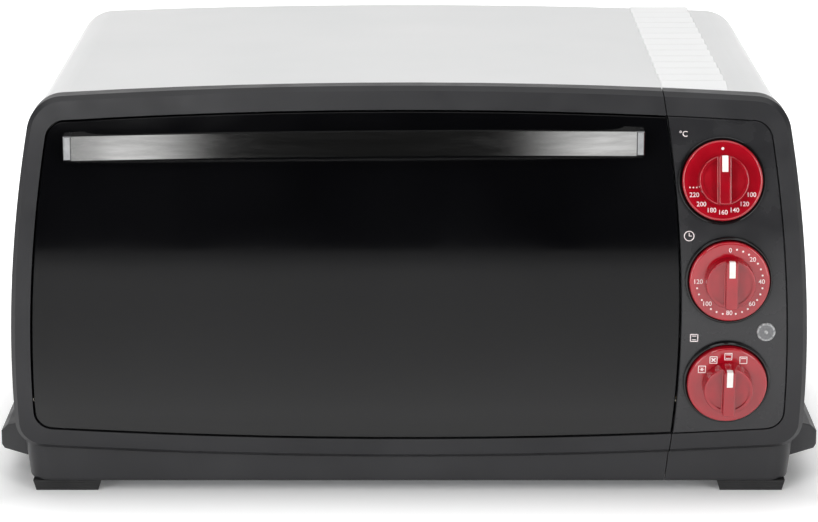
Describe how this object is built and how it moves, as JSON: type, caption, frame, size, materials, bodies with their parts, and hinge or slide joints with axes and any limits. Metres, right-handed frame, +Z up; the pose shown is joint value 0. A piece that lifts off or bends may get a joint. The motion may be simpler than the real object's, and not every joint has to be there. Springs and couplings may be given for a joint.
{
  "type": "mini oven",
  "caption": "Compact countertop convection oven with a bowed front, a drop-down glass door, three knobs on fixed red dials, a rack that slides with the door and carrying grips.",
  "frame": {"origin": "on the table under the middle of the oven", "axes": "+X to the right seen from the front, +Y to the back, +Z up"},
  "size_m": [0.475, 0.36, 0.2367],
  "materials": {
    "bezel_plastic": "gloss moulded",
    "control_plate_plastic": "satin",
    "dial_red": "gloss printed",
    "knob_red": "gloss moulded",
    "pointer_white": "matt",
    "ring_black": "gloss",
    "zinc_steel": "galvanised",
    "stainless": "brushed",
    "wrapper_paint": "gloss paint",
    "enamel_grey": "enamel",
    "tray_enamel": "enamel",
    "chromed_wire": "bright",
    "heater_sheath": "oxidised",
    "ceramic_white": "unglazed",
    "blanket_fibre": "felt",
    "dark_glass": "tinted",
    "lens_clear": "clear",
    "lamp_neon": "clear",
    "body_plastic": "matt",
    "rubber_black": "matt",
    "aluminium_fan": "mill",
    "brass_bush": "turned",
    "screw_zinc": "plated"
  },
  "bodies": {
    "oven": {"front_frame_left": "bezel_plastic", "front_frame_right": "bezel_plastic", "control_plate": "control_plate_plastic", "dial_rings": "ring_black", "thermostat_body": "body_plastic", "timer_body": "body_plastic", "selector_switch": "body_plastic", "control_bracket": "zinc_steel", "timer_bell": "chromed_wire", "indicator_lens": "lens_clear", "indicator_lamp": "lamp_neon", "outer_wrapper": "wrapper_paint", "cord_gland": "rubber_black", "rear_spacers": "body_plastic", "base_pan": "zinc_steel", "front_feet": "rubber_black", "rear_feet": "rubber_black", "side_grip_left": "body_plastic", "side_grip_right": "body_plastic", "cavity_liner": "enamel_grey", "cavity_back_wall": "enamel_grey", "rack_guide_left": "zinc_steel", "rack_guide_right": "zinc_steel", "crumb_tray": "tray_enamel", "upper_heater": "heater_sheath", "lower_heater": "heater_sheath", "heater_insulators": "ceramic_white", "heater_clips": "zinc_steel", "insulation_blanket": "blanket_fibre", "heat_shield": "zinc_steel", "fan_housing": "zinc_steel", "fan_motor": "zinc_steel", "thermostat_sensor": "stainless", "terminal_block": "ceramic_white", "hinge_bushes": "brass_bush", "case_screws": "screw_zinc", "rear_panel": "zinc_steel", "temperature_dial": "dial_red", "timer_dial": "dial_red", "function_dial": "dial_red"},
    "door": {"door_glass": "dark_glass", "door_inner_frame": "zinc_steel", "door_hinge_arms": "zinc_steel", "hinge_pins": "stainless", "door_handle": "stainless", "handle_end_caps": "stainless", "handle_screws": "screw_zinc"},
    "rack": {"wire_rack": "chromed_wire", "baking_tray": "tray_enamel"},
    "fan": {"fan_impeller": "aluminium_fan", "fan_shaft": "stainless"},
    "temperature_control": {"temperature_knob": "knob_red", "temperature_pointer": "pointer_white", "temperature_shaft": "stainless"},
    "timer_control": {"timer_knob": "knob_red", "timer_pointer": "pointer_white", "timer_shaft": "stainless"},
    "function_control": {"function_knob": "knob_red", "function_pointer": "pointer_white", "function_shaft": "stainless"}
  },
  "joints": [
    {"name": "door_hinge", "type": "hinge", "parent": "oven", "child": "door", "pos_m": [0, -0.14796, 0.057], "axis": [1, 0, 0], "range_deg": [0, 90]},
    {"name": "rack_slide", "type": "slide", "parent": "oven", "child": "rack", "axis": [0, -1, 0], "range_m": [0, 0.095]},
    {"name": "temperature_turn", "type": "hinge", "parent": "oven", "child": "temperature_control", "pos_m": [0.1758, -0.15185, 0.186], "axis": [0, 0.9729, -0.2313], "range_deg": [0, 255]},
    {"name": "timer_turn", "type": "hinge", "parent": "oven", "child": "timer_control", "pos_m": [0.1803, -0.15998, 0.1305], "axis": [0, 0.9983, -0.0578], "range_deg": [0, 270]},
    {"name": "function_turn", "type": "hinge", "parent": "oven", "child": "function_control", "pos_m": [0.1805, -0.15781, 0.0704], "axis": [0, 0.9915, 0.13], "range_deg": [-56, 28]},
    {"name": "fan_spin", "type": "hinge", "parent": "oven", "child": "fan", "pos_m": [0.14, 0.04, 0.125], "axis": [1, 0, 0], "continuous": true}
  ],
  "couplings": [
    {"joint": "rack_slide", "follows": "door_hinge", "m_per_rad": 0.06}
  ]
}
